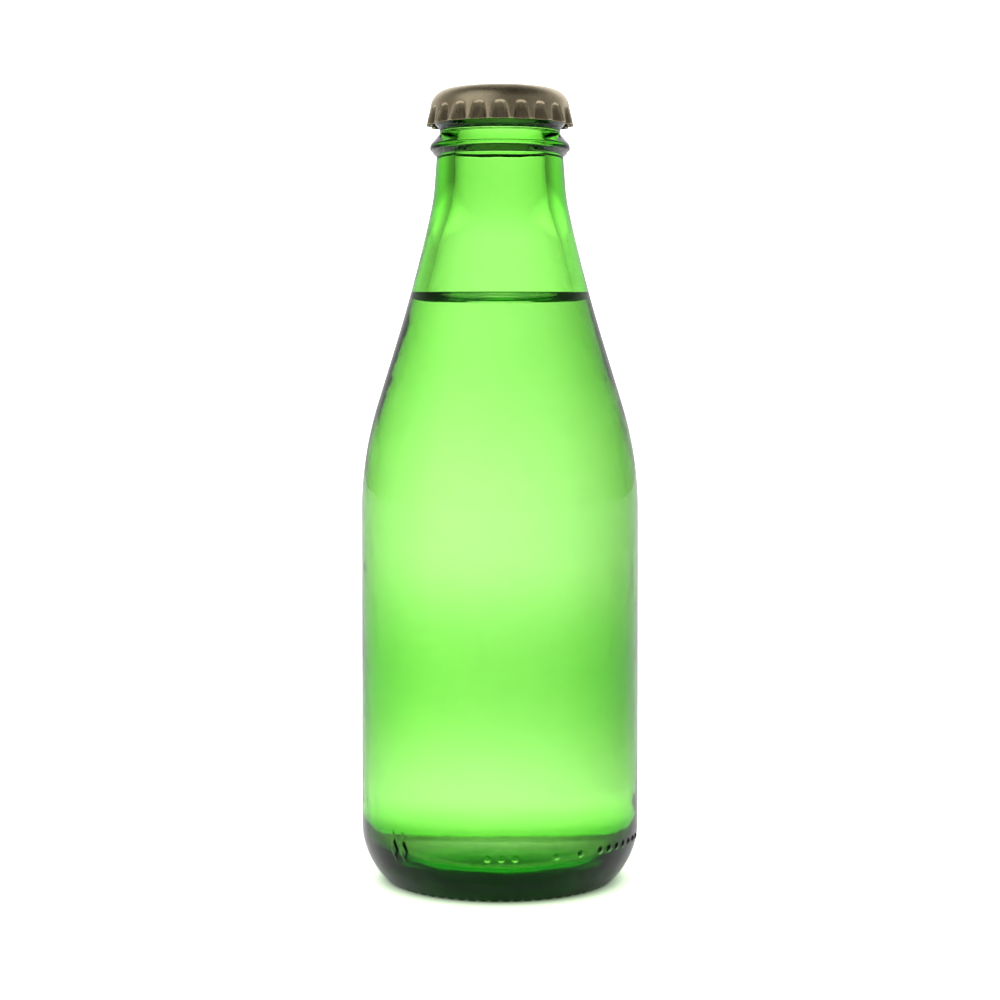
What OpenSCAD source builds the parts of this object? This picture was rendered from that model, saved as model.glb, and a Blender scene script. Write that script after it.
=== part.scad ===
// Small green glass soda bottle, filled and closed with a crimped crown.
// Millimetres. +Z is up, and the origin is the middle of the ring that the bottle stands on.

/* [Bottle outside] */
// Height of the glass, from the standing ring to the lip
bottle_h = 153; // [140:1:190]
// Diameter of the straight wall
body_d = 54; // [48:0.5:66]
// Height at which the straight wall ends and the shoulder starts
wall_top = 72; // [50:1:86]
// Diameter of the neck just under the collar
neck_d = 24.7; // [23.5:0.1:26]
// Length of the nearly straight neck below the collar
neck_h = 5.4; // [3:0.1:8]
// How much of the shoulder's steepest slope is left at the neck
neck_slope = 0.21; // [0.05:0.01:0.4]
// How much of the shoulder's steepest slope is left where the neck's bend starts
sweep_slope = 0.72; // [0.5:0.01:1]

/* [Heel and foot] */
// Height at which the heel runs into the straight wall
heel_h = 11; // [9:0.5:16]
// How far the heel's curve draws in from the wall on its way to the ground
heel_in = 5; // [3:0.5:7]
// Radius that rounds the foot into the standing ring
foot_round = 1; // [0.6:0.1:1.5]
// Width of the flat standing ring
ring_w = 2.1; // [1.5:0.1:3]
// Rise of the hollow under the base
push_up = 3.2; // [1:0.1:4]
// Number of grip notches round the standing ring
notches = 66; // [24:1:72]
// Depth of a grip notch
notch_depth = 0.35; // [0.1:0.05:0.5]

/* [Glass thickness] */
// Thickness of the straight wall above and below its settled band
wall = 2.4; // [2:0.1:4]
// How much thicker the wall is in the middle of the settled band
band_extra = 1.3; // [0:0.1:1.5]
// Height of the settled band's middle
band_z = 40; // [38:1:44]
// Height over which the settled band fades, above and below its middle
band_fade = 24; // [10:1:24]
// Thickness of the neck
neck_wall = 3.1; // [2.5:0.1:3.6]
// Height over which the wall thickens from the straight wall to the neck's thickness
neck_fade = 30; // [20:1:60]
// Diameter of the throat through the finish
throat_d = 17.6; // [14:0.1:18]
// Height over which the neck's inside narrows to the throat
throat_ease = 16; // [6:0.5:18]
// Thickness of the glass in the middle of the base
base_t = 4; // [2.5:0.1:6]
// How far the floor inside drops from its middle to its edge
floor_fall = 1.4; // [0.4:0.1:2]
// Radius of the corner inside, between the floor and the wall
inner_heel = 9; // [6:0.5:12]

/* [Finish] */
// Height from the collar's underside to the lip
finish_h = 11.9; // [11.6:0.1:13]
// Diameter of the collar below the crown
collar_d = 27.2; // [26.4:0.1:28]
// Radius of the collar's rounded side
collar_round = 1.3; // [1:0.1:1.5]
// Radius of the collar's lower edge
collar_edge = 0.35; // [0.2:0.05:0.5]
// Radius of the hollow between the neck and the collar
collar_root = 0.5; // [0.2:0.1:0.7]
// Diameter of the waist between the collar and the locking bead
waist_d = 23.4; // [22.6:0.1:24.2]
// Height from the waist to the lip
waist_drop = 7.4; // [7.2:0.1:7.8]
// Radius of the waist's hollow
waist_round = 1.2; // [0.8:0.1:1.3]
// Diameter of the locking bead that the crown grips
bead_d = 26; // [25:0.1:26.1]
// Radius of the bead's lower edge
bead_round = 0.7; // [0.4:0.1:0.9]
// Height from the bead's lower edge to the lip
bead_drop = 5.4; // [5:0.1:5.8]
// Radius from the bead's side over to the lip, where the lip is thick enough
brow_round = 2.4; // [1.5:0.1:3]
// Radius that rounds the lip into the bore, where the lip is thick enough
lip_round = 0.8; // [0.4:0.1:1]
// Least width of the flat lip that the liner seals on
lip_land = 0.8; // [0.5:0.1:1.5]

/* [Heel marks] */
// Height of the marks' centres
mark_z = 9.1; // [8:0.1:14]
// Radius of a raised dot
dot_r = 0.9; // [0.4:0.05:1]
// How far a mark stands out of the heel
mark_rise = 0.3; // [0.1:0.05:0.3]
// Width of a plain lozenge
lozenge_w = 2.2; // [1:0.1:2.4]
// Angle between neighbouring marks in a row
mark_step = 5.4; // [4.5:0.1:8]

/* [Crown] */
// How far the crimped skirt's foot stands outside the locking bead
skirt_out = 1.4; // [1.2:0.1:2]
// Height of the crown
crown_h = 6.9; // [6.4:0.1:7.2]
// How far the rounded top edge stands outside the locking bead
top_out = 0.5; // [0.45:0.05:0.7]
// How much larger the radius of the rounded top edge is than the lip's
round_extra = 1.2; // [0.9:0.05:1.25]
// Thickness of the steel sheet
sheet = 0.24; // [0.2:0.01:0.3]
// Number of flutes round the skirt
flutes = 21; // [21:1:21]
// Width left between two neighbouring flutes, inside the sheet
ridge_w = 0.28; // [0.2:0.02:0.8]
// Height of the flutes' rounded tops above the crown's foot
flute_h = 2.9; // [2:0.1:3.2]
// Gap between the flutes' inner side and the locking bead
crimp_gap = 0.16; // [0.1:0.01:0.25]

/* [Liner] */
// Thickness of the liner's sealing ring
liner_t = 0.45; // [0.4:0.05:0.7]
// Thickness of the liner's thin middle
liner_web = 0.3; // [0.2:0.05:0.35]
// How far the sealing ring reaches into the crown's rounded corner
liner_tuck = 0.8; // [0.4:0.1:1]
// Gap between the sealing ring and the crown's rounded corner
liner_gap = 0.05; // [0.02:0.01:0.1]

/* [Drink] */
// Height of the empty space from the drink's surface up to the lip
headspace_h = 42; // [25:1:70]
// Gap between the drink's outline and the glass
fill_gap = 0.02; // [0.01:0.01:0.05]

/* [Hidden] */
$fn = 96;

body_r = body_d / 2;
neck_r = neck_d / 2;
throat_r = throat_d / 2;
inner_r = body_r - wall;
collar_z = bottle_h - finish_h;
neck_z = collar_z - neck_h;
throat_z = collar_z - collar_root;
shoulder_h = neck_z - wall_top;

// The shoulder's slope grows from the wall, stays, eases along a long sweep, then bends into the neck.
// These are the four stretches as shares of the shoulder's height, and the steps that each is drawn in.
stretches = [0.33, 0.18, 0.395, 0.095];
stretch_steps = [10, 1, 8, 6];
neck_steps = 4;
wall_steps = 14;

// The corner inside starts a little short of level, where the floor's dome meets it.
corner_start = -80;

// Slopes at the ends of the stretches, as shares of the steepest. The neck keeps the last one.
slopes = [0, 1, 1, sweep_slope, neck_slope];
shoulder_scale = (body_r - neck_r) / (drop_before(4) + neck_slope * neck_h / shoulder_h);

// The heel is one arc that leaves the wall at heel_h and has drawn in by heel_in on the ground.
heel_r = (heel_h * heel_h + heel_in * heel_in) / (2 * heel_in);
heel_x = body_r - heel_r;
foot_x = heel_x + sqrt(pow(heel_r - foot_round, 2) - pow(heel_h - foot_round, 2));
foot_turn = atan2(heel_h - foot_round, foot_x - heel_x);
ring_r = foot_x - ring_w;
notch_r = 2 * notch_depth;
notch_start = foot_x - ring_w / 2;

// The hollow under the base and the floor inside are shallow domes.
floor_z = push_up + base_t;
corner_r = inner_r - inner_heel;
corner_z = floor_z - floor_fall;

// Centres of the finish's round stretches.
collar_c = [collar_d / 2 - collar_round, collar_z + 2 * collar_edge + collar_round / 2];
waist_c = [waist_d / 2 + waist_round, bottle_h - waist_drop];
bead_c = [bead_d / 2 - bead_round, bottle_h - bead_drop];
lip_share = min(1, (bead_d / 2 - throat_r - lip_land) / (brow_round + lip_round));
brow_r = brow_round * lip_share;
brow_c = [bead_d / 2 - brow_r, bottle_h - brow_r];
bore_r = lip_round * lip_share;
bore_c = [throat_r + bore_r, bottle_h - bore_r];

// The crown stands on the liner, and the liner on the lip. Its top edge is rounded to suit the lip's.
crown_round = brow_r + round_extra;
crown_top = bottle_h + liner_t + sheet;
crown_base = crown_top - crown_h;
crown_c = [bead_d / 2 + top_out - crown_round, crown_top - crown_round];
skirt_r = bead_d / 2 + skirt_out;
skirt_reach = [skirt_r, crown_base] - crown_c;
skirt_lean = atan2(skirt_reach.y, skirt_reach.x) + acos(crown_round / norm(skirt_reach));

// The flutes are as wide as their number allows, and their inner side clears the bead by crimp_gap.
flute_floor = bead_d / 2 + crimp_gap + sheet;
flute_half = sin(180 / flutes);
flute_r = (flute_floor * flute_half - sheet - ridge_w / 2) / (1 - flute_half);
flute_ring = flute_floor + flute_r;

liner_r = crown_c.x + liner_tuck;
fill_z = bottle_h - headspace_h;

// Where the marks stand round the heel, from the front and counted anticlockwise from above.
dot_angles = [-5, 0.5, 6, 23, 34, for (i = [0:6]) 44.6 + i * mark_step];
lozenge_angles = [-47.4, -47.4 + mark_step];

// Points of an arc about c from angle a to angle b.
function arc(c, r, a, b, steps) = [
    for (i = [0:steps])
    let (t = a + (b - a) * i / steps)
    c + r * [cos(t), sin(t)]
];

// Meridian of a shallow dome, from its top on the axis out to radius r at height edge.
function dome(top, edge, r, steps) =
    let (fall = top - edge, big = (r * r + fall * fall) / (2 * fall))
    arc([0, top - big], big, 90, 90 - asin(r / big), steps);

// Lean from the vertical of the straight line that touches a convex arc and the hollow arc next to it.
function lean(reach, radii) = asin(radii / norm(reach)) - atan2(reach.x, abs(reach.y));

// Share of a rise from 0 to 1 that starts and ends level.
function ease(u) = let (v = max(0, min(1, u))) v * v * (3 - 2 * v);

function height_before(i) = i == 0 ? 0 : height_before(i - 1) + stretches[i - 1];

// Drop of the shoulder along stretch i, as far as the share u of it, where the steepest slope is 1.
function stretch_drop(i, u) = stretches[i] * (slopes[i] * u + (slopes[i + 1] - slopes[i]) * u * u / 2);

function drop_before(i) = i == 0 ? 0 : drop_before(i - 1) + stretch_drop(i - 1, 1);

// Radius of the glass outside, in the heel, the straight wall and the shoulder's stretch i.
function heel_at(z) = z > heel_h ? body_r : heel_x + sqrt(heel_r * heel_r - pow(heel_h - z, 2));
function shoulder_at(i, u) = body_r - shoulder_scale * (drop_before(i) + stretch_drop(i, u));

// Points round the shoulder and up the neck to the collar.
shoulder_points = [
    for (i = [0:3])
    for (j = [0:stretch_steps[i] - 1])
    let (u = j / stretch_steps[i])
    [shoulder_at(i, u), wall_top + shoulder_h * (height_before(i) + u * stretches[i])],
    for (j = [0:neck_steps])
    let (z = neck_z + (neck_h - collar_root) * j / neck_steps)
    [shoulder_at(3, 1) - (shoulder_at(3, 1) - neck_r) * j / neck_steps, z]
];

// Thickness of the glass at a height, from the heel up to the neck.
function thickness(z) =
    wall
    + band_extra * ease(1 - abs(z - band_z) / band_fade)
    + (neck_wall - wall) * ease((z - wall_top) / neck_fade);

// Point of the inner side level with an outer point. Up the neck it draws in to the throat.
function inner_point(p) =
    let (free = p.x - thickness(p.y), near = ease((p.y - throat_z) / throat_ease + 1))
    [free + (throat_r - free) * near, p.y];

// Meridian of the finish, from the neck under the collar up to the lip and into the bore.
function finish() =
    let (
        down = lean(waist_c - collar_c, collar_round + waist_round),
        up = lean(waist_c - bead_c, waist_round + bead_round)
    )
    concat(
        arc([neck_r + collar_root, throat_z], collar_root, 180, 90, 4),
        arc([collar_d / 2 - collar_edge, collar_z + 3 * collar_edge], collar_edge, -90, 0, 3),
        arc(collar_c, collar_round, 0, down, 4),
        arc(waist_c, waist_round, 180 + down, 180 - up, 8),
        arc(bead_c, bead_round, -up, 0, 4),
        arc(brow_c, brow_r, 0, 90, 8),
        arc(bore_c, bore_r, 90, 180, 4)
    );

// Outer meridian of the glass, from the middle of the base up to the neck.
function outside() = concat(
    dome(push_up, 0, ring_r, 8),
    arc([foot_x, foot_round], foot_round, -90, -foot_turn, 3),
    [for (p = arc([heel_x, heel_h], heel_r, -foot_turn, 0, 12)) if (p.y > foot_round) p],
    shoulder_points
);

// Inner meridian of the glass, from the middle of the floor up to the throat.
function inside() = concat(
    dome(floor_z, corner_z, corner_r, 6),
    arc([corner_r, corner_z + inner_heel], inner_heel, corner_start, 0, 8),
    [
        for (i = [1:wall_steps - 1])
        let (z = corner_z + inner_heel + (wall_top - corner_z - inner_heel) * i / wall_steps)
        [body_r - thickness(z), z]
    ],
    [for (p = shoulder_points) inner_point(p)]
);

function reversed(list) = [for (i = [len(list) - 1:-1:0]) list[i]];

// Puts a mark on the heel at an angle from the front, with its outer side at mark_rise.
module on_heel(angle) {
    rotate([0, 0, angle])
        translate([0, -heel_at(mark_z) - mark_rise, mark_z])
            children();
}

module raised_dot() {
    translate([0, dot_r, 0])
        sphere(dot_r);
}

module lozenge() {
    half = lozenge_w / 2;
    translate([0, wall / 2, 0])
        rotate([90, 0, 0])
            linear_extrude(wall / 2)
                polygon([[half, 0], [0, 2 * half], [-half, 0], [0, -2 * half]]);
}

// The heel and the wall above it, grown outwards by mark_rise.
module grown_heel() {
    rotate_extrude()
        polygon(concat(
            [[0, foot_round]],
            arc([heel_x, heel_h], heel_r + mark_rise, -foot_turn, 0, 12),
            [[body_r + mark_rise, wall_top], [0, wall_top]]
        ));
}

module grip_notches() {
    for (i = [0:notches - 1])
        rotate([0, 0, (i + 0.5) * 360 / notches])
            translate([notch_start, 0, notch_depth - notch_r])
                rotate([0, 90, 0])
                    cylinder(h = heel_r, r = notch_r);
}

module glass_bottle() {
    color([0.36, 0.8, 0.24, 0.6]) {
        difference() {
            rotate_extrude()
                polygon(concat(outside(), finish(), reversed(inside())));
            grip_notches();
        }
        for (a = dot_angles)
            on_heel(a)
                raised_dot();
        intersection() {
            for (a = lozenge_angles)
                on_heel(a)
                    lozenge();
            grown_heel();
        }
    }
}

// The drink fills the inside up to fill_z, a film's thickness clear of the glass.
module soda_fill() {
    color([0.85, 0.95, 0.88, 0.5])
        intersection() {
            rotate_extrude()
                polygon(concat(
                    [for (p = inside()) [max(0, p.x - fill_gap), p.y + fill_gap]],
                    [[throat_r - fill_gap, bottle_h], [0, bottle_h]]
                ));
            cylinder(h = fill_z, r = body_r);
        }
}

// The crown's outline under its outer face, drawn in by the depth inset.
module crown_blank(inset) {
    foot = skirt_r - inset / cos(skirt_lean);
    rotate_extrude()
        polygon(concat(
            [[0, crown_base - inset], [0, crown_top - inset]],
            arc(crown_c, crown_round - inset, 90, skirt_lean, 8),
            [[foot, crown_base], [foot + inset * tan(skirt_lean), crown_base - inset]]
        ));
}

// Round-ended pins that press the flutes, from under the crown's foot.
module flute_pins(r) {
    for (i = [0:flutes - 1])
        rotate([0, 0, i * 360 / flutes])
            translate([0, -flute_ring, crown_base]) {
                translate([0, 0, -crown_round])
                    cylinder(h = crown_round + flute_h, r = r);
                translate([0, 0, flute_h])
                    sphere(r);
            }
}

module crown_shell() {
    color([0.45, 0.42, 0.37])
        difference() {
            crown_blank(0);
            flute_pins(flute_r);
            difference() {
                crown_blank(sheet);
                flute_pins(flute_r + sheet);
            }
        }
}

module crown_liner() {
    r = crown_round - sheet - liner_gap;
    turn = acos(liner_tuck / r);
    color([0.78, 0.78, 0.74])
        rotate_extrude()
            polygon(concat(
                [[0, crown_top - sheet - liner_web], [0, crown_top - sheet], [crown_c.x, crown_top - sheet]],
                arc(crown_c, r, 90, turn, 4),
                [
                    [liner_r, bottle_h],
                    [throat_r + liner_web, bottle_h],
                    [throat_r, crown_top - sheet - liner_web]
                ]
            ));
}

glass_bottle();
soda_fill();
crown_shell();
crown_liner();
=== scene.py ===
"""Looks of a small green glass soda bottle with a crimped steel crown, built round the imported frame.

The sizes are in metres and follow the part. The glass, the drink, the crown and its liner are each one
closed mesh, spun from its meridian and then shaped. -Y is the side with the row of three dots.
"""

from math import acos, asin, atan2, cos, degrees, exp, floor, hypot, pi, radians, sin, sqrt

import bmesh
import bpy
from bpy.props import FloatProperty, FloatVectorProperty, IntProperty, PointerProperty
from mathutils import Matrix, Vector


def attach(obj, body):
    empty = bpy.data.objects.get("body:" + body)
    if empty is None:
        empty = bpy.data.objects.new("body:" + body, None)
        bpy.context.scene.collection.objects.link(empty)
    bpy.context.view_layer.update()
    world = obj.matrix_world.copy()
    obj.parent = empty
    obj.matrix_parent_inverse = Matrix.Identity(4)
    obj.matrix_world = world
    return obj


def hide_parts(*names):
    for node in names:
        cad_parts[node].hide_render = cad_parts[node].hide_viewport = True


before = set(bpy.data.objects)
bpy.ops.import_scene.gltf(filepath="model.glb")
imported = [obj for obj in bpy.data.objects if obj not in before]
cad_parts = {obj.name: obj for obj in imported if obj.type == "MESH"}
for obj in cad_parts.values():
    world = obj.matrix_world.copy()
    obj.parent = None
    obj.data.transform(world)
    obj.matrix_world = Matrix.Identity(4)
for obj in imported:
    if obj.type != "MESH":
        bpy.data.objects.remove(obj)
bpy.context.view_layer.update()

bl_info = {
    "name": "Soda bottle with a crown",
    "version": (1, 0, 0),
    "blender": (4, 5, 0),
    "location": "3D View > Sidebar > Bottle",
    "description": "Builds a filled glass soda bottle, its crimped crown and a plain studio",
    "category": "Add Mesh",
}

MM = 0.001
MERGE = 1e-6

# Columns of faces round the glass and round the softer pieces. The glass has four to each grip notch.
GLASS_COLUMNS = 264
SOFT_COLUMNS = 192
FLUTE_COLUMNS = 16


def size(name, default, description, **more):
    """A length in metres, given here in millimetres."""
    return FloatProperty(
        name=name, default=default * MM, description=description, unit="LENGTH", subtype="DISTANCE",
        precision=5, **more
    )


def tint(name, default, description):
    return FloatVectorProperty(
        name=name, default=default, description=description, subtype="COLOR", size=4, min=0, max=1
    )


class BottleSizes(bpy.types.PropertyGroup):
    """Sizes and colours of the glass."""

    height: size("Height", 153, "From the standing ring to the lip")
    body_r: size("Body radius", 27, "Outside radius of the straight wall")
    wall_top: size("Wall top", 72, "Height at which the shoulder starts")
    neck_r: size("Neck radius", 12.35, "Outside radius just under the collar")
    neck_h: size("Neck height", 5.4, "Length of the nearly straight neck")
    heel_h: size("Heel height", 11, "Height at which the heel meets the wall")
    heel_in: size("Heel draw", 5, "How far the heel draws in on its way to the ground")
    foot_round: size("Foot rounding", 1, "Radius from the heel into the standing ring")
    ring_w: size("Ring width", 2.1, "Width of the flat standing ring")
    push_up: size("Push-up", 3.2, "Rise of the hollow under the base")
    notch_depth: size("Grip notch", 0.35, "Depth of a notch in the standing ring")
    notches: IntProperty(name="Grip notches", default=66, min=24, description="Notches round the ring")
    wall: size("Wall", 2.4, "Thickness of the glass in the body")
    band_extra: size("Settled glass", 1.3, "Extra thickness in the middle of the settled band")
    band_z: size("Settled height", 40, "Height of the settled band's middle")
    band_fade: size("Settled fade", 24, "Height over which the settled band fades")
    neck_wall: size("Neck wall", 3.1, "Thickness of the glass in the neck")
    neck_fade: size("Neck fade", 30, "Height over which the wall thickens to the neck's")
    throat_r: size("Throat radius", 8.8, "Radius of the bore through the finish")
    throat_ease: size("Throat ease", 16, "Height over which the neck narrows to the throat")
    base_t: size("Base", 4, "Thickness in the middle of the base")
    floor_fall: size("Floor fall", 1.4, "Drop of the inner floor from its middle to its edge")
    inner_heel: size("Inner heel", 9, "Radius of the corner inside")
    finish_h: size("Finish height", 11.9, "From the collar's underside to the lip")
    collar_r: size("Collar radius", 13.6, "Outside radius of the collar")
    collar_root: size("Collar root", 0.5, "Radius of the hollow between the neck and the collar")
    collar_edge: size("Collar edge", 0.35, "Radius of the collar's lower edge")
    collar_round: size("Collar rounding", 1.3, "Radius of the collar's rounded side")
    waist_r: size("Waist radius", 11.7, "Outside radius of the waist above the collar")
    waist_round: size("Waist rounding", 1.2, "Radius of the waist's hollow")
    waist_drop: size("Waist drop", 7.4, "From the waist to the lip")
    bead_r: size("Bead radius", 13, "Outside radius of the locking bead")
    bead_round: size("Bead rounding", 0.7, "Radius of the bead's lower edge")
    bead_drop: size("Bead drop", 5.4, "From the bead's lower edge to the lip")
    brow_round: size("Brow rounding", 2.4, "Radius from the bead's side over to the lip")
    lip_round: size("Lip rounding", 0.8, "Radius that rounds the lip into the bore")
    mark_z: size("Mark height", 9.1, "Height of the heel marks")
    dot_r: size("Dot radius", 0.9, "Radius of the ball that a raised dot is part of")
    lozenge_w: size("Lozenge width", 2.2, "Width of a plain lozenge")
    mark_rise: size("Mark rise", 0.3, "How far a heel mark stands out")
    ior: FloatProperty(name="Refraction", default=1.5, min=1, description="Index of refraction")
    skin: tint("Skin", (0.98, 1.0, 0.97, 1), "Colour of the glass's surface")
    depth_tint: tint("Depth tint", (0.34, 0.75, 0.05, 1), "Colour that light takes on inside the glass")
    depth: FloatProperty(name="Depth", default=400, min=0, description="How strongly it does, per metre")


class DrinkSizes(bpy.types.PropertyGroup):
    """Sizes of the drink."""

    headspace: size("Headspace", 42, "From the drink's surface to the lip")
    climb: size("Climb", 2.8, "How far the drink climbs up the glass at its edge")
    climb_w: size("Climb width", 2.2, "Width over which the drink's surface levels out")
    edge_share: FloatProperty(
        name="Edge share", default=0.45, min=0, max=1, description="Share of the climb that lies at the edge"
    )
    climb_edge: size("Climb edge", 0.6, "Width of its steep edge against the glass")
    wetting: size("Wetting", 0.05, "How far the drink reaches into the glass, so that no air is left between")
    ior: FloatProperty(name="Refraction", default=1.333, min=1, description="Index of refraction")
    body: tint("Body", (0.75, 0.79, 0.74, 1), "Colour that the drink gives the light")
    thin: tint("Thin", (0.81, 0.84, 0.8, 1), "The same colour where it is weakest")


class CrownSizes(bpy.types.PropertyGroup):
    """Sizes and colours of the crown and its liner."""

    height: size("Height", 6.9, "Height of the crown")
    skirt_out: size("Skirt", 1.4, "How far the skirt's foot stands outside the bead")
    top_out: size("Top edge", 0.5, "How far the rounded top edge stands outside the bead")
    rounding: size("Rounding", 3.6, "Radius of the rounded top edge")
    sheet: size("Sheet", 0.24, "Thickness of the steel")
    flutes: IntProperty(name="Flutes", default=21, min=21, max=21, description="Flutes round the skirt")
    ridge_w: size("Ridge", 0.28, "Width left between two flutes, inside the sheet")
    flute_h: size("Flute height", 2.9, "Height of the flutes' rounded tops above the foot")
    crimp_gap: size("Crimp gap", 0.16, "Gap between the flutes and the bead")
    liner_t: size("Liner", 0.45, "Thickness of the liner's sealing ring")
    liner_web: size("Liner web", 0.3, "Thickness of the liner's middle")
    liner_tuck: size("Liner tuck", 0.8, "How far the sealing ring reaches into the corner")
    lacquer: tint("Lacquer", (0.58, 0.48, 0.30, 1), "Colour of the lacquered steel")
    worn: tint("Worn", (0.80, 0.69, 0.47, 1), "Colour of the steel where the lacquer is thin")
    # Painted shade: a dark colour laid into the flutes where shade falls.
    painted_shade: tint("Shade", (0.13, 0.095, 0.055, 1), "Colour of the lacquer down in the flutes")
    compound: tint("Compound", (0.78, 0.78, 0.74, 1), "Colour of the liner")
    stain: tint("Stain", (0.7, 0.69, 0.63, 1), "Colour of the liner's stains")


class StudioSizes(bpy.types.PropertyGroup):
    """The floor, the light and the camera."""

    eye_d: size("Eye distance", 432.2, "From the camera to the bottle's axis")
    eye_z: size("Eye height", 98.95, "Height of the camera above the ground")
    lens: FloatProperty(name="Lens", default=79.67, min=1, description="Focal length", unit="CAMERA")
    drop: FloatProperty(name="Drop", default=1.889, description="How far the camera looks down, in degrees")
    shift: FloatProperty(name="Shift", default=-0.055, description="Vertical shift of the picture")
    ground: tint("Ground", (0.9, 0.9, 0.9, 1), "Colour of the floor")
    tooth: tint("Tooth", (0.92, 0.92, 0.92, 1), "Colour of the floor's grain")


# Meridians are lists of (radius, height) points in metres.

def arc(centre, r, start, end, steps):
    """Points of an arc about a centre, between two angles in degrees."""
    turns = [radians(start + (end - start) * i / steps) for i in range(steps + 1)]
    return [(centre[0] + r * cos(t), centre[1] + r * sin(t)) for t in turns]


def dome(top, edge, r, steps):
    """Points of a shallow dome from the axis out to radius r."""
    fall = top - edge
    big = (r * r + fall * fall) / (2 * fall)
    return arc((0, top - big), big, 90, 90 - degrees(asin(r / big)), steps)


def ease(u):
    v = min(1, max(0, u))
    return v * v * (3 - 2 * v)


# The shoulder in four stretches: their shares of its height, the steps in each, and the slopes at their
# ends as shares of the steepest.
STRETCHES = (0.33, 0.18, 0.395, 0.095)
STRETCH_STEPS = (26, 6, 20, 10)
SLOPES = (0, 1, 1, 0.72, 0.21)
NECK_STEPS = 6
WALL_STEPS = 24
INNER_STEPS = 40

# Loops on the standing ring: how far they lie from its inner edge, the notches' start and its outer edge.
RING_LOOPS = (0.35 * MM, 0.1 * MM, 0.5 * MM)

# How the corner inside starts, in degrees, where the floor's dome meets it.
CORNER_START = -80


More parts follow.
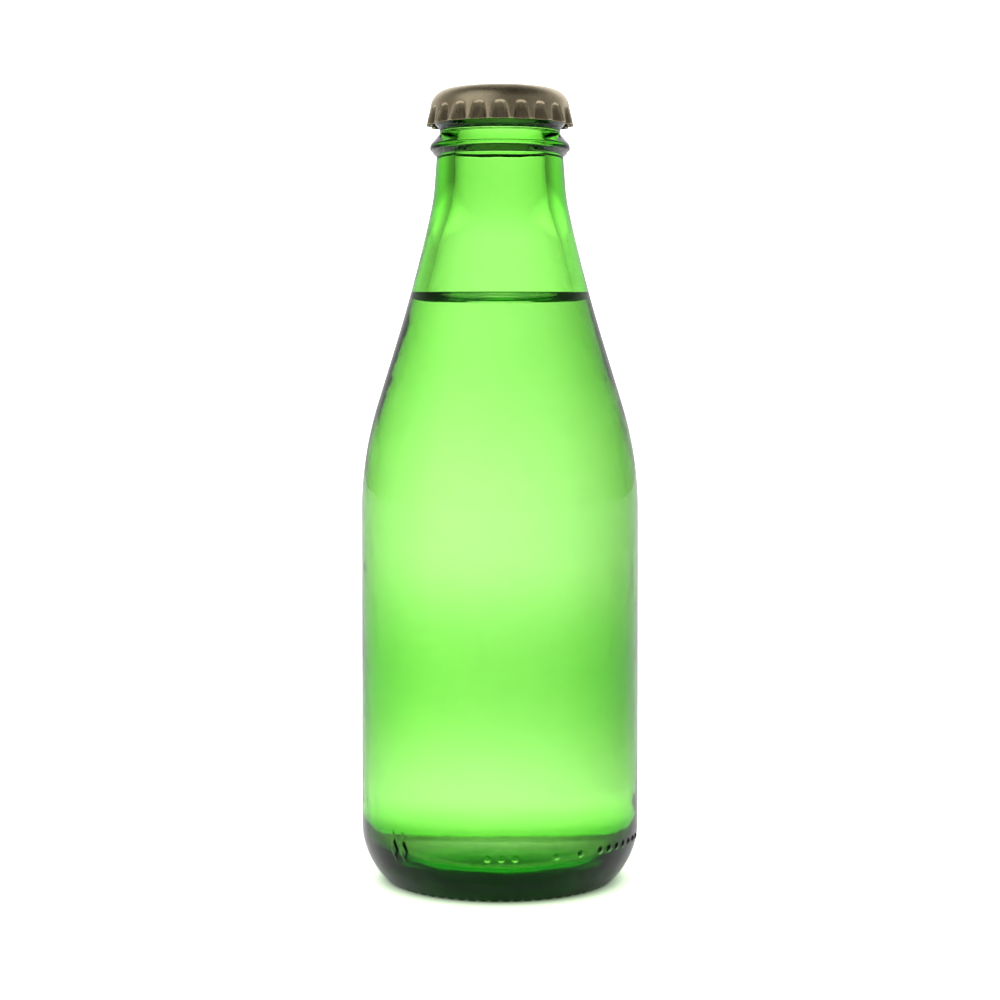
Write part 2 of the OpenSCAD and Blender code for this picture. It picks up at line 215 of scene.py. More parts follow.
class Glass:
    """Meridians of the glass, from its sizes."""

    def __init__(self, g):
        self.g = g
        self.heel_r = (g.heel_h ** 2 + g.heel_in ** 2) / (2 * g.heel_in)
        self.heel_x = g.body_r - self.heel_r
        self.foot_x = self.heel_x + sqrt((self.heel_r - g.foot_round) ** 2 - (g.heel_h - g.foot_round) ** 2)
        self.foot_turn = degrees(atan2(g.heel_h - g.foot_round, self.foot_x - self.heel_x))
        self.ring_r = self.foot_x - g.ring_w
        self.notch_start = self.foot_x - g.ring_w / 2
        self.collar_z = g.height - g.finish_h
        self.neck_z = self.collar_z - g.neck_h
        self.throat_z = self.collar_z - g.collar_root
        self.shoulder_h = self.neck_z - g.wall_top
        self.scale = (g.body_r - g.neck_r) / (self.before(4) + SLOPES[4] * g.neck_h / self.shoulder_h)
        self.floor_z = g.push_up + g.base_t
        self.corner = (g.body_r - g.wall - g.inner_heel, self.floor_z - g.floor_fall + g.inner_heel)

    @staticmethod
    def drop(i, u):
        """Drop of the shoulder along stretch i, as far as the share u of it."""
        return STRETCHES[i] * (SLOPES[i] * u + (SLOPES[i + 1] - SLOPES[i]) * u * u / 2)

    def before(self, i):
        return sum(self.drop(k, 1) for k in range(i))

    def heel_at(self, z):
        """Radius of the glass outside, on the heel and the straight wall."""
        g = self.g
        return g.body_r if z > g.heel_h else self.heel_x + sqrt(self.heel_r ** 2 - (g.heel_h - z) ** 2)

    def shoulder(self):
        """Points round the shoulder and up the neck."""
        g = self.g
        points = []
        for i, steps in enumerate(STRETCH_STEPS):
            for j in range(steps):
                r = g.body_r - self.scale * (self.before(i) + self.drop(i, j / steps))
                z = g.wall_top + self.shoulder_h * (sum(STRETCHES[:i]) + STRETCHES[i] * j / steps)
                points.append((r, z))
        low, rise = g.body_r - self.scale * self.before(4), g.neck_h - g.collar_root
        shares = [j / NECK_STEPS for j in range(NECK_STEPS + 1)]
        return points + [(low + (g.neck_r - low) * u, self.neck_z + rise * u) for u in shares]

    def thickness(self, z):
        g = self.g
        return (
            g.wall
            + g.band_extra * ease(1 - abs(z - g.band_z) / g.band_fade)
            + (g.neck_wall - g.wall) * ease((z - g.wall_top) / g.neck_fade)
        )

    def outside(self):
        """From the middle of the base up to the neck under the collar."""
        g = self.g
        inner, beside, outer = RING_LOOPS
        start = self.notch_start
        ring = [self.ring_r + inner, start - beside, start + beside, self.foot_x - outer]
        heel = arc((self.heel_x, g.heel_h), self.heel_r, -self.foot_turn, 0, 22)
        shares = [i / WALL_STEPS for i in range(1, WALL_STEPS)]
        straight = [(g.body_r, g.heel_h + (g.wall_top - g.heel_h) * u) for u in shares]
        return (
            dome(g.push_up, 0, self.ring_r, 18)
            + [(r, 0) for r in ring]
            + arc((self.foot_x, g.foot_round), g.foot_round, -90, -self.foot_turn, 6)
            + heel[1:]
            + straight
            + self.shoulder()
        )

    def finish(self):
        """From the neck under the collar up to the lip and into the bore."""
        g = self.g
        edge, brow, bore = g.collar_edge, g.brow_round, g.lip_round
        collar = (g.collar_r - g.collar_round, self.collar_z + 2 * edge + g.collar_round / 2)
        waist = (g.waist_r + g.waist_round, g.height - g.waist_drop)
        bead = (g.bead_r - g.bead_round, g.height - g.bead_drop)
        down = lean(waist, collar, g.collar_round + g.waist_round)
        up = lean(waist, bead, g.waist_round + g.bead_round)
        return (
            arc((g.neck_r + g.collar_root, self.throat_z), g.collar_root, 180, 90, 8)[1:]
            + arc((g.collar_r - edge, self.collar_z + 3 * edge), edge, -90, 0, 5)
            + arc(collar, g.collar_round, 0, down, 8)
            + arc(waist, g.waist_round, 180 + down, 180 - up, 16)
            + arc(bead, g.bead_round, -up, 0, 8)
            + arc((g.bead_r - brow, g.height - brow), brow, 0, 90, 12)
            + arc((g.throat_r + bore, g.height - bore), bore, 90, 180, 8)
        )

    def inner_point(self, p):
        free = p[0] - self.thickness(p[1])
        near = ease((p[1] - self.throat_z) / self.g.throat_ease + 1)
        return free + (self.g.throat_r - free) * near, p[1]

    def inside(self):
        """From the middle of the floor up to the throat."""
        g = self.g
        low = self.corner[1]
        wall = [low + (g.wall_top - low) * i / INNER_STEPS for i in range(1, INNER_STEPS)]
        return (
            dome(self.floor_z, self.floor_z - g.floor_fall, self.corner[0], 14)
            + arc(self.corner, g.inner_heel, CORNER_START, 0, 18)
            + [(g.body_r - self.thickness(z), z) for z in wall]
            + [self.inner_point(p) for p in self.shoulder()]
        )


def lean(waist, other, radii):
    """Lean in degrees of the line that touches the waist's hollow and a round stretch beside it."""
    x, z = waist[0] - other[0], waist[1] - other[1]
    return degrees(asin(radii / hypot(x, z)) - atan2(x, abs(z)))


def spun(points, columns, ring=False):
    """A bmesh of the meridian spun round the axis. A ring's meridian is closed."""
    bm = bmesh.new()
    verts = [bm.verts.new((r, 0, z)) for r, z in points]
    edges = [bm.edges.new(pair) for pair in zip(verts, verts[1:])]
    if ring:
        edges.append(bm.edges.new((verts[-1], verts[0])))
    bmesh.ops.spin(
        bm, geom=verts + edges, cent=(0, 0, 0), axis=(0, 0, 1), angle=2 * pi, steps=columns, use_merge=True
    )
    bmesh.ops.remove_doubles(bm, verts=bm.verts, dist=MERGE)
    bmesh.ops.recalc_face_normals(bm, faces=bm.faces)
    return bm


def settle(bm, name, material):
    """Makes a smooth object of the bmesh, at the origin."""
    mesh = bpy.data.meshes.new(name)
    bm.to_mesh(mesh)
    bm.free()
    mesh.materials.append(material)
    mesh.shade_smooth()
    piece = bpy.data.objects.new(name, mesh)
    bpy.context.scene.collection.objects.link(piece)
    return piece


class Wire:
    """A socket of a material, on which sums and products add their Math nodes."""

    def __init__(self, shop, socket):
        self.shop, self.socket = shop, socket

    def maths(self, operation, *values):
        """This value in one Math node, with the others after it."""
        return self.shop.add("ShaderNodeMath", {"operation": operation}, self, *values)

    def __add__(self, other):
        return self.maths("ADD", other)

    def __sub__(self, other):
        return self.maths("SUBTRACT", other)

    def __rsub__(self, other):
        return self.maths("MULTIPLY_ADD", -1.0, other)

    def __mul__(self, other):
        return self.maths("MULTIPLY", other)

    __radd__, __rmul__ = __add__, __mul__


class Shop:
    """Builds the nodes of one material or world, one at a time."""

    def __init__(self, name, shelf="materials"):
        self.made = getattr(bpy.data, shelf).new(name)
        self.made.use_nodes = True
        self.tree = self.made.node_tree
        self.tree.nodes.clear()

    def add(self, kind, settings=None, *values, out=0, **named):
        """Adds a node, sets it up and fills its sockets. Returns the output called out."""
        node = self.tree.nodes.new(kind)
        for key, value in (settings or {}).items():
            if key == "stops":
                ramp = node.color_ramp
                while len(ramp.elements) < len(value):
                    ramp.elements.new(0.5)
                for element, (place, colour) in zip(ramp.elements, value):
                    element.position, element.color = place, colour
            else:
                setattr(node, key, value)
        sockets = dict(enumerate(values)) | {k.replace("_", " "): v for k, v in named.items()}
        for key, value in sockets.items():
            socket = node.inputs[key]
            if isinstance(value, Wire):
                self.tree.links.new(value.socket, socket)
            else:
                socket.default_value = value
        return Wire(self, node.outputs[out])

    def place(self, stretch=(1, 1, 1)):
        """Object coordinates, stretched along the axes."""
        own = self.add("ShaderNodeTexCoord", out="Object")
        return self.add("ShaderNodeMapping", None, own, Scale=stretch)

    def noise(self, where, scale, detail=2.0, roughness=0.5):
        return self.add(
            "ShaderNodeTexNoise", None, Vector=where, Scale=scale, Detail=detail, Roughness=roughness
        )

    def spread(self, value, low, high, to_low, to_high):
        """The value stretched from one range to another, and kept within it."""
        return self.add("ShaderNodeMapRange", None, value, low, high, to_low, to_high)

    def blend(self, value, low, high, to_low, to_high):
        """Like spread, with a soft start and end."""
        smooth = {"interpolation_type": "SMOOTHSTEP"}
        return self.add("ShaderNodeMapRange", smooth, value, low, high, to_low, to_high)

    def bump(self, height, strength, distance, under=None):
        more = {"Normal": under} if under else {}
        return self.add(
            "ShaderNodeBump", None, Height=height, Strength=strength, Distance=distance, **more
        )

    def surface(self, **sockets):
        return self.add("ShaderNodeBsdfPrincipled", None, **sockets)

    def finish(self, surface, volume=None, kind="ShaderNodeOutputMaterial"):
        """Links the output and returns the material or world."""
        node = self.tree.nodes.new(kind)
        self.tree.links.new(surface.socket, node.inputs["Surface"])
        if volume:
            self.tree.links.new(volume.socket, node.inputs["Volume"])
        return self.made


def mixed(shop, share, a, b):
    """Colour between a and b, by a Mix node whose colour sockets are picked by place."""
    node = shop.tree.nodes.new("ShaderNodeMix")
    node.data_type = "RGBA"
    shop.tree.links.new(share.socket, node.inputs[0])
    for place, value in ((6, a), (7, b)):
        if isinstance(value, Wire):
            shop.tree.links.new(value.socket, node.inputs[place])
        else:
            node.inputs[place].default_value = value
    return Wire(shop, node.outputs[2])


def split(shop, where):
    return [shop.add("ShaderNodeSeparateXYZ", None, where, out=axis) for axis in ("X", "Y", "Z")]


def off_axis(x, y):
    """Distance of the place (x, y) from the axis."""
    return (x * x + y * y).maths("SQRT")


def green_glass(g):
    """Green glass with a faint swirl and dimples. Its colour deepens with its thickness."""
    shop = Shop("green_glass")
    here = shop.place()
    swirl = shop.noise(shop.place((1, 1, 0.45)), 55, 2.0, 0.45)
    dimples = shop.noise(here, 210, 1.5, 0.5)
    grain = shop.noise(here, 900, 2.0, 0.6)
    normal = shop.bump(swirl, 1.0, 0.00035)
    normal = shop.bump(dimples, 1.0, 0.00004, normal)
    rough = shop.spread(grain, 0.4, 0.75, 0.0, 0.05)
    surface = shop.surface(
        Base_Color=mixed(shop, dimples, g.skin, (1, 1, 1, 1)),
        Roughness=rough, IOR=g.ior, Transmission_Weight=1.0, Normal=normal, Specular_Tint=(0.4, 0.4, 0.4, 1),
    )
    volume = shop.add("ShaderNodeVolumeAbsorption", None, Color=g.depth_tint, Density=g.depth)
    return shop.finish(surface, volume)


def clear_drink(d):
    """The drink, which takes a little light and mirrors none where it wets the glass."""
    shop = Shop("clear_drink")
    film = shop.noise(shop.place(), 260, 1.0, 0.5)
    surface = shop.surface(
        Base_Color=mixed(shop, film, d.body, d.thin),
        Roughness=0.0, IOR=d.ior, Transmission_Weight=1.0, Normal=shop.bump(film, 1.0, 0.00001),
        Specular_Tint=(0, 0, 0, 1),
    )
    return shop.finish(surface)


# How much the skirt's ridges draw in per metre of height, and their radius if they reached the ground.
SKIRT_LEAN = 0.27
SKIRT_FROM = 0.0144 + 0.14679 * SKIRT_LEAN

# How far below the ridges the painted shade in the flutes starts and is full, how strong it is, and where it
# ends above.
SHADE_FROM, SHADE_TO, SHADE_MOST = 0.05 * MM, 0.5 * MM, 0.75
SHADE_TOP = (149.8 * MM, 150.4 * MM)


def lacquered_steel(c):
    """Satin lacquer over rolled steel, cloudy, with painted shade that darkens it down in the flutes."""
    shop = Shop("lacquered_steel")
    here = shop.place()
    cloud = shop.noise(here, 180, 3.0, 0.6)
    rolled = shop.noise(shop.place((1, 14, 1)), 420, 3.0, 0.6)
    grain = shop.noise(here, 5200, 2.0, 0.7)
    x, y, z = split(shop, shop.add("ShaderNodeTexCoord", out="Object"))
    # The painted shade: a share that grows with how far the sheet lies sunk below the ridges, and fades out
    # above the flutes' tops.
    sunk = SKIRT_FROM - z * SKIRT_LEAN - off_axis(x, y)
    painted_shade_share = shop.spread(sunk, SHADE_FROM, SHADE_TO, 0.0, SHADE_MOST) * shop.spread(z, *SHADE_TOP, 1.0, 0.0)
    colour = mixed(shop, shop.spread(cloud, 0.35, 0.7, 0.0, 1.0), c.lacquer, c.worn)
    colour = mixed(shop, painted_shade_share, colour, c.painted_shade)
    normal = shop.bump(rolled, 0.5, 0.00001)
    normal = shop.bump(grain, 0.4, 0.000006, normal)
    surface = shop.surface(
        Base_Color=colour, Metallic=1.0,
        Roughness=shop.spread(rolled, 0.3, 0.7, 0.24, 0.36), Normal=normal,
        Coat_Weight=shop.spread(cloud, 0.3, 0.7, 0.1, 0.25), Coat_Roughness=0.12, Coat_IOR=1.45,
    )
    return shop.finish(surface)


def moulded_compound(c):
    """Soft sealing compound with a fine grain and faint stains."""
    shop = Shop("moulded_compound")
    here = shop.place()
    grain = shop.noise(here, 2600, 3.0, 0.6)
    stain = shop.noise(here, 240, 2.0, 0.5)
    surface = shop.surface(
        Base_Color=mixed(shop, stain, c.compound, c.stain),
        Roughness=shop.spread(grain, 0.3, 0.7, 0.38, 0.55), Normal=shop.bump(grain, 0.5, 0.00002),
        Subsurface_Weight=0.1, Subsurface_Radius=(0.001, 0.001, 0.0008),
    )
    return shop.finish(surface)


# How bright the room, the lamp, the ground, the ground close to the bottle and the ground under it are.
ROOM_LIGHT = 3.6
LAMP_LIGHT = 1.2
GROUND_LIGHT = 1.82
NEAR_LIGHT = 1.2
UNDER_LIGHT = 1.7

# Shares of the ground's and the room's light that mirrored rays see.
MIRRORED_GROUND = 0.08
MIRRORED_ROOM = 0.32

# The way to the lamp, and how directly a ray must face it to see its soft edge and its full light.
LAMP_WAY = Vector((-0.55, -0.5, 0.67)).normalized()
LAMP_EDGE = (0.8, 0.97)

# Degrees from behind the bottle towards +X where the ground and the room are brightest, and shares of the
# light by the degrees away from there, and in the room by the degrees above the ground.
GROUND_BRIGHTEST = 11
ROOM_BRIGHTEST = 4
GROUND_TURN = [
    (0, 1.0), (13, 0.86), (22, 0.76), (29, 0.62), (37, 0.48), (46, 0.35), (57, 0.2), (100, 0.16), (180, 0.15)
]
ROOM_TURN = [(0, 1.0), (20, 0.93), (30, 0.78), (50, 0.38), (70, 0.22), (100, 0.17), (180, 0.15)]
ROOM_RISE = [(0, 0.59), (10, 0.59), (16, 1.0), (34, 1.0), (50, 0.32), (70, 0.16)]

# Distances from the bottle's axis over which the ground's painted light changes: from close by to far off,
# where it starts for the glass and for the eye past a painted shadow at the foot, where the painted light
# under the foot ends, and where the painted green glow fades.
OPEN_GROUND = (0.03, 0.11)
FOOT_SHADOW_EDGE = (0.0212, 0.0262)
SEEN_SHADOW_EDGE = (0.0205, 0.027)
UNDER_EDGE = (0.0185, 0.0205)
GLOW_EDGE = (0.0225, 0.036)

# Shares of red, green and blue in the painted green glow at the foot, and in the painted light under the
# bottle.
FOOT_GLOW = (0.74, 1.0, 0.62)
UNDER_GLOW = (0.12, 0.8, 0.06)


def greys(stops, whole):
    """Stops of a grey ramp, at places given as parts of a whole."""
    return [(place / whole, (value, value, value, 1)) for place, value in stops]


def dimmed(shop, share):
    """Share of the light that mirrored rays see, so that little of the room shows in the glass."""
    through = shop.add("ShaderNodeLightPath", out="Is Transmission Ray")
    mirrored = shop.add("ShaderNodeLightPath", out="Is Glossy Ray") * (1 - through)
    return 1 - mirrored * (1 - share)


def light_round(shop, x, y, brightest, stops):
    """Share of the light in the direction (x, y) on the ground, from its stops."""
    turn = radians(brightest)
    behind = (x * sin(turn) + y * cos(turn)).maths("DIVIDE", off_axis(x, y))
    away = behind.maths("ARCCOSINE") * (1 / pi)
    return shop.add("ShaderNodeValToRGB", {"stops": greys(stops, 180)}, away)


def pale_ground(s):
    """Pale ground that shines by itself, most behind the bottle: a painted pool of light. The eye sees it
    white around the foot, past a painted contact shadow with a painted green glow at the foot; under the
    bottle it shines with painted green light.
    """
    shop = Shop("pale_ground")
    own = shop.add("ShaderNodeTexCoord", out="Object")
    x, y, _ = split(shop, own)
    away = off_axis(x, y)
    turned = light_round(shop, x, y, GROUND_BRIGHTEST, GROUND_TURN)
    turned = NEAR_LIGHT - shop.blend(away, *OPEN_GROUND, 0.0, 1.0) * (NEAR_LIGHT - turned)
    # For rays through the glass, a painted shadow: no light under and right beside the foot.
    cast = shop.blend(away, *FOOT_SHADOW_EDGE, 0.0, GROUND_LIGHT) * turned * dimmed(shop, MIRRORED_GROUND)
    seen = shop.add("ShaderNodeLightPath", out="Is Camera Ray")
    # The eye sees a painted contact shadow at the foot, and white further out.
    lit = cast * (1 - seen) + shop.blend(away, *SEEN_SHADOW_EDGE, 0.0, 1.0) * seen
    # Painted green light under the bottle, which lights its base from below.
    under = shop.blend(away, *UNDER_EDGE, UNDER_LIGHT, 0.0)
    # Towards the foot the light is painted green: a painted green glow round the foot.
    glow = [
        lit * shop.blend(away, *GLOW_EDGE, at_foot, 1.0) + under * below
        for at_foot, below in zip(FOOT_GLOW, UNDER_GLOW)
    ]
    tooth = shop.noise(shop.place(), 600, 3.0, 0.6)
    surface = shop.surface(
        Base_Color=mixed(shop, tooth, s.ground, s.tooth),
        Roughness=0.9, Normal=shop.bump(tooth, 0.2, 0.00002),
        Emission_Color=shop.add("ShaderNodeCombineColor", None, *glow), Emission_Strength=1.0,
    )
    return shop.finish(surface)


# Where the marks stand round the heel, in degrees from the front and anticlockwise from above.
MARK_STEP = 5.4
DOTS = [-5, 0.5, 6, 23, 34] + [44.6 + MARK_STEP * i for i in range(7)]
LOZENGES = [-47.4, -47.4 + MARK_STEP]

# How finely the faces under a mark are cut, how far from its middle, and how steep a lozenge's sides are.
MARK_CUTS = 4
MARK_REACH = 2.3 * MM
LOZENGE_STEEP = 3.5


def dot_height(g, x, z):
    """Height of a round dot over the heel, of a ball sunk so that it stands out by the marks' rise."""
    left = g.dot_r ** 2 - x * x - z * z
    return max(0, sqrt(left) - g.dot_r + g.mark_rise) if left > 0 else 0


def lozenge_height(g, x, z):
    """Height of a lozenge with soft edges, twice as tall as it is wide."""
    half = g.lozenge_w / 2
    share = 1 - abs(x) / half - abs(z) / (2 * half)
    return g.mark_rise * ease(share * LOZENGE_STEEP)


def raise_marks(bm, glass, marks, reach):
    """Raises marks on the heel. Each is an angle in degrees from the front, and a shape."""
    g = glass.g
    spots = []
    for turn, shape in marks:
        across = Vector((cos(radians(turn)), sin(radians(turn)), 0))
        out = Vector((across.y, -across.x, 0))
        spots.append((across, out * glass.heel_at(g.mark_z) + Vector((0, 0, g.mark_z)), shape))

    def near():
        """The outer vertices close to a mark, with that mark."""
        for v in bm.verts:
            if abs(v.co.z - g.mark_z) < reach:
                across, middle, shape = min(spots, key=lambda spot: (spot[1] - v.co).length)
                if (v.co - middle).length < reach:
                    yield v, across, shape

    chosen = {v for v, _, _ in near()}
    edges = {e for v in chosen for e in v.link_edges if e.other_vert(v) in chosen}
    bmesh.ops.subdivide_edges(bm, edges=list(edges), cuts=MARK_CUTS, use_grid_fill=True)
    for v, across, shape in near():
        lift = shape(g, v.co.dot(across), v.co.z - g.mark_z)
        v.co.xy *= (glass.heel_at(v.co.z) + lift) / v.co.xy.length


def notch_ring(bm, glass):
    """Cuts the grip notches across the outer half of the standing ring."""
    g = glass.g
    tool = 2 * g.notch_depth
    for v in bm.verts:
        flat = v.co.xy.length
        if v.co.z < g.notch_depth and flat > glass.notch_start:
            turn = atan2(v.co.y, v.co.x) * g.notches / (2 * pi)
            away = (turn - floor(turn) - 0.5) * 2 * pi * glass.foot_x / g.notches
            if abs(away) < tool:
                v.co.z = max(v.co.z, sqrt(tool * tool - away * away) - tool + g.notch_depth)


class BOTTLE_OT_glass(bpy.types.Operator):
    """Builds the moulded glass bottle with its heel marks and grip notches"""

    bl_idname = "soda.glass"
    bl_label = "Glass bottle"

    def execute(self, context):
        g = context.scene.soda_bottle
        glass = Glass(g)
        bm = spun(glass.outside() + glass.finish() + glass.inside()[::-1], GLASS_COLUMNS)
        notch_ring(bm, glass)
        marks = [(turn, dot_height) for turn in DOTS] + [(turn, lozenge_height) for turn in LOZENGES]
        raise_marks(bm, glass, marks, MARK_REACH)
        piece = settle(bm, "bottle_glass", green_glass(g))
        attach(piece, "bottle")
        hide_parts("glass_bottle")
        return {"FINISHED"}


# How far in from the glass the drink's surface bends, the steps over the bend and over the flat part, and
# how much the steps crowd towards the glass.
CLIMB_REACH = 7 * MM
CLIMB_STEPS = 24
CLIMB_CROWDING = 1.7
FLAT_STEPS = 10


class BOTTLE_OT_drink(bpy.types.Operator):
    """Fills the bottle with a clear drink whose surface climbs the glass at its edge"""

    bl_idname = "soda.drink"
    bl_label = "Drink"

    def execute(self, context):
        g, d = context.scene.soda_bottle, context.scene.soda_drink
        glass = Glass(g)
        level = g.height - d.headspace
        wall = [(r + d.wetting, z - d.wetting * (r < glass.corner[0])) for r, z in glass.inside()]
        wall[0] = (0, wall[0][1])
        brim = level + d.climb
        side = [p for p in wall if p[1] < brim]
        a, b = side[-1], wall[len(side)]
        edge = a[0] + (b[0] - a[0]) * (brim - a[1]) / (b[1] - a[1])
        start = edge - d.wetting
        top = []
        for i in range(CLIMB_STEPS):
            away = CLIMB_REACH * (i / CLIMB_STEPS) ** CLIMB_CROWDING
            climb = d.edge_share * exp(-away / d.climb_edge) + (1 - d.edge_share) * exp(-away / d.climb_w)
            top.append((start - away, level + d.climb * climb))
        flat = start - CLIMB_REACH
        top += [(flat - flat * i / FLAT_STEPS, level) for i in range(1, FLAT_STEPS + 1)]
        bm = spun(side + [(edge, brim)] + top, SOFT_COLUMNS)
        piece = settle(bm, "drink_clear", clear_drink(d))
        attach(piece, "bottle")
        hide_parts("soda_fill")
        return {"FINISHED"}


# Steps over the crown's flat top, its rounded edge and its skirt.
TOP_STEPS = 16
EDGE_STEPS = 18
SKIRT_STEPS = 26

# How far a flute's floor bends up towards its sides and its upper end, how short the upper end is against
# the sides, and how wide the rounding is where the flute meets the skirt.
FLUTE_POWER = 4
FLUTE_END = 2
FLUTE_EASE = 0.12 * MM


def crown_blank(g, c):
    """Meridian of the crown before it is fluted, from the middle of its top to the skirt's foot."""
    top = g.height + c.liner_t + c.sheet
    centre = (g.bead_r + c.top_out - c.rounding, top - c.rounding)
    foot = (g.bead_r + c.skirt_out, top - c.height)
    x, z = foot[0] - centre[0], foot[1] - centre[1]
    turn = degrees(atan2(z, x) + acos(c.rounding / hypot(x, z)))
    edge = arc(centre, c.rounding, 90, turn, EDGE_STEPS)
    x, z = edge[-1]
    shares = [i / SKIRT_STEPS for i in range(1, SKIRT_STEPS + 1)]
    skirt = [(x + (foot[0] - x) * u, z + (foot[1] - z) * u) for u in shares]
    flat = [(centre[0] * i / TOP_STEPS, top) for i in range(TOP_STEPS)]
    return flat + edge + skirt, top


def soft_min(a, b, width):
    """The lesser of two values, rounded where they meet."""
    near = max(0, 1 - abs(a - b) / width)
    return min(a, b) - width * near * near / 4


class BOTTLE_OT_crown(bpy.types.Operator):
    """Stamps the crimped steel crown with its flutes"""

    bl_idname = "soda.crown"
    bl_label = "Crown"

    def execute(self, context):
        g, c = context.scene.soda_bottle, context.scene.soda_crown
        points, top = crown_blank(g, c)
        bm = spun(points, c.flutes * FLUTE_COLUMNS)
        if sum(f.normal.z * f.calc_area() for f in bm.faces) < 0:
            bmesh.ops.reverse_faces(bm, faces=bm.faces)
        inner = g.bead_r + c.crimp_gap + c.sheet
        half = sin(pi / c.flutes)
        flute = (inner * half - c.sheet - c.ridge_w / 2) / (1 - half)
        ring = inner + flute
        tops = top - c.height + c.flute_h
        foot = g.bead_r + c.skirt_out
        half_w = foot * half - c.ridge_w
        centre_r = g.bead_r + c.top_out - c.rounding
        for v in bm.verts:
            flat = v.co.xy.length
            turn = (atan2(v.co.y, v.co.x) + pi / 2) * c.flutes / (2 * pi)
            away = (turn - round(turn)) * 2 * pi / c.flutes
            side = ring * sin(away)
            over = max(0, v.co.z - tops) * FLUTE_END
            bottom = inner + (foot - inner) * (hypot(side, over) / half_w) ** FLUTE_POWER
            v.co.xy *= soft_min(flat, bottom, FLUTE_EASE) / flat if flat > centre_r else 1
        bmesh.ops.solidify(bm, geom=bm.faces, thickness=c.sheet)
        piece = settle(bm, "crown_cap", lacquered_steel(c))
        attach(piece, "crown")
        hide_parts("crown_shell")
        return {"FINISHED"}


# Gaps between the liner and the crown, the lip's inner edge, and the lip's top.
SHELL_GAP = 0.05 * MM
BORE_GAP = 0.06 * MM
LIP_GAP = 0.02 * MM


class BOTTLE_OT_liner(bpy.types.Operator):
    """Moulds the sealing liner inside the crown"""

    bl_idname = "soda.liner"
    bl_label = "Liner"

    def execute(self, context):
        g, c = context.scene.soda_bottle, context.scene.soda_crown
        under = g.height + c.liner_t
        corner = (g.bead_r + c.top_out - c.rounding, under + c.sheet - c.rounding)
        r = c.rounding - c.sheet - SHELL_GAP
        side = corner[0] + c.liner_tuck
        points = (
            [(0, under - c.liner_web)]
            + [(g.throat_r * i / 6, under - c.liner_web) for i in range(1, 7)]
            + [(g.throat_r + c.liner_web * 0.5, g.height + BORE_GAP)]
            + [(g.throat_r + c.liner_web + (side - g.throat_r - c.liner_web) * i / 12,
                g.height + LIP_GAP * (1 + cos(i * pi))) for i in range(13)]
            + arc(corner, r, degrees(acos(c.liner_tuck / r)), 90, 8)
            + [(corner[0] * (1 - i / 8), under) for i in range(1, 9)]
        )
        bm = spun(points, SOFT_COLUMNS)
        piece = settle(bm, "liner_disc", moulded_compound(c))
        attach(piece, "crown")
        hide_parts("crown_liner")
        return {"FINISHED"}


def soft_room():
    """A world of soft light, brightest behind the bottle and least above it. It looks white itself."""
    shop = Shop("soft_room", "worlds")
    where = shop.add("ShaderNodeTexCoord", out="Generated")
    x, y, z = split(shop, where)
    rise = z.maths("ARCSINE") * (2 / pi)
    rise_light = shop.add("ShaderNodeValToRGB", {"stops": greys(ROOM_RISE, 90)}, rise)
    lamp_x, lamp_y, lamp_z = LAMP_WAY
    facing = x * lamp_x + y * lamp_y + z * lamp_z
    lamp = shop.blend(facing, *LAMP_EDGE, 0.0, LAMP_LIGHT)
    seen = shop.add("ShaderNodeLightPath", out="Is Camera Ray")
    room = light_round(shop, x, y, ROOM_BRIGHTEST, ROOM_TURN) * rise_light * ROOM_LIGHT + lamp
    light = (room * dimmed(shop, MIRRORED_ROOM)).maths("MAXIMUM", seen)
    sky = shop.add("ShaderNodeBackground", None, (1, 1, 1, 1), light)
    return shop.finish(sky, kind="ShaderNodeOutputWorld")


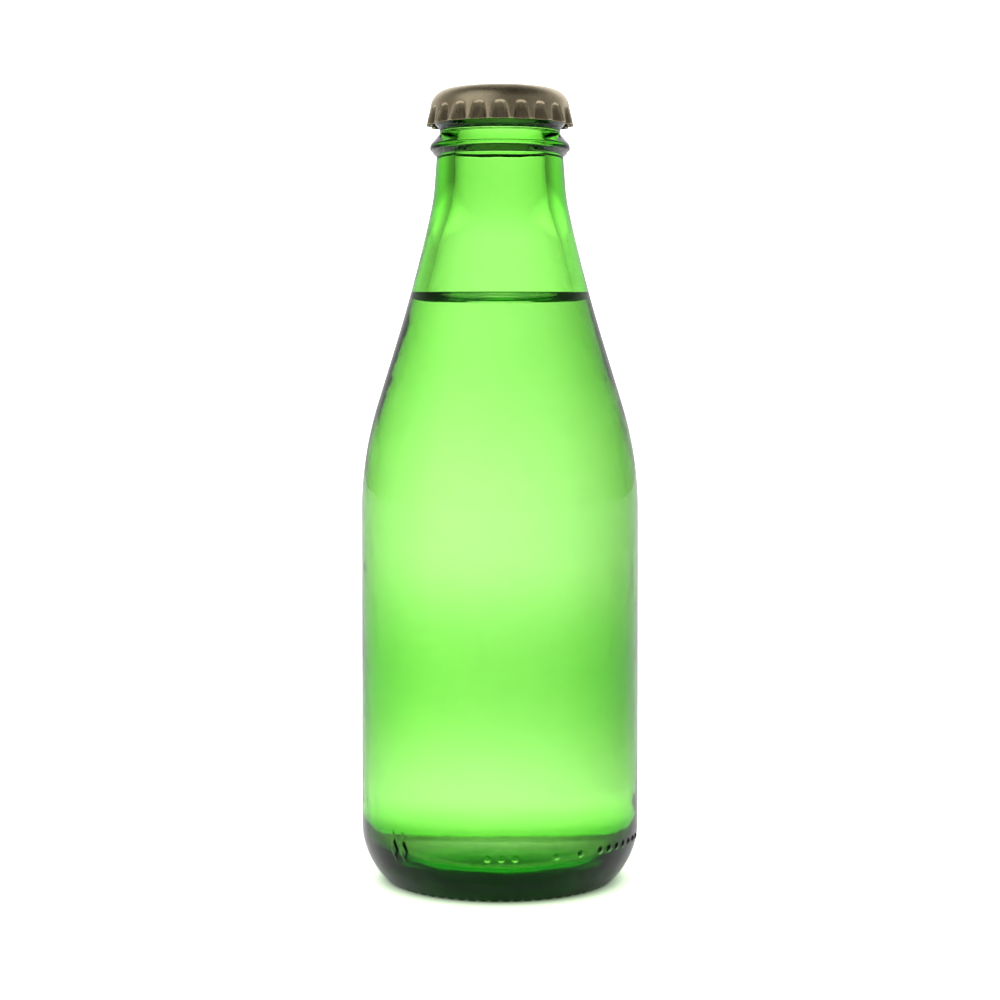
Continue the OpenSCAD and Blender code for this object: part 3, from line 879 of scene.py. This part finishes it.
class BOTTLE_OT_studio(bpy.types.Operator):
    """Sets up the pale floor, the soft light and the camera"""

    bl_idname = "soda.studio"
    bl_label = "Studio"

    def execute(self, context):
        s = context.scene.soda_studio
        scene = context.scene
        bm = bmesh.new()
        bmesh.ops.create_circle(bm, cap_ends=True, radius=6, segments=96)
        floor_piece = settle(bm, "floor", pale_ground(s))
        for v in floor_piece.data.vertices:
            v.co.z = -0.05 * MM

        scene.world = soft_room()
        eye = bpy.data.cameras.new("eye")
        eye.lens, eye.sensor_width, eye.shift_y = s.lens, 36, s.shift
        eye.clip_start, eye.clip_end = 0.01, 50
        camera = bpy.data.objects.new("eye", eye)
        camera.location = (0, -s.eye_d, s.eye_z)
        camera.rotation_euler = (radians(90 - s.drop), 0, 0)
        scene.collection.objects.link(camera)
        scene.camera = camera
        scene.view_settings.view_transform = "Standard"
        scene.cycles.max_bounces = 32
        scene.cycles.transmission_bounces = 32
        scene.cycles.glossy_bounces = 12
        scene.cycles.diffuse_bounces = 4
        scene.cycles.caustics_refractive = True
        return {"FINISHED"}


class BOTTLE_PT_sidebar(bpy.types.Panel):
    """Lists what can be built"""

    bl_label = "Soda bottle"
    bl_idname = "BOTTLE_PT_sidebar"
    bl_space_type = "VIEW_3D"
    bl_region_type = "UI"
    bl_category = "Bottle"

    def draw(self, context):
        for operator in OPERATORS:
            self.layout.operator(operator.bl_idname)


GROUPS = {
    "soda_bottle": BottleSizes,
    "soda_drink": DrinkSizes,
    "soda_crown": CrownSizes,
    "soda_studio": StudioSizes,
}
OPERATORS = (BOTTLE_OT_glass, BOTTLE_OT_drink, BOTTLE_OT_crown, BOTTLE_OT_liner, BOTTLE_OT_studio)


def register():
    for group in GROUPS.values():
        bpy.utils.register_class(group)
    for name, group in GROUPS.items():
        setattr(bpy.types.Scene, name, PointerProperty(type=group))
    for operator in OPERATORS:
        bpy.utils.register_class(operator)
    bpy.utils.register_class(BOTTLE_PT_sidebar)


def unregister():
    bpy.utils.unregister_class(BOTTLE_PT_sidebar)
    for operator in reversed(OPERATORS):
        bpy.utils.unregister_class(operator)
    for name in GROUPS:
        delattr(bpy.types.Scene, name)
    for group in GROUPS.values():
        bpy.utils.unregister_class(group)


def main():
    register()
    bpy.ops.soda.glass()
    bpy.ops.soda.drink()
    bpy.ops.soda.crown()
    bpy.ops.soda.liner()
    bpy.ops.soda.studio()


if __name__ == "__main__":
    main()
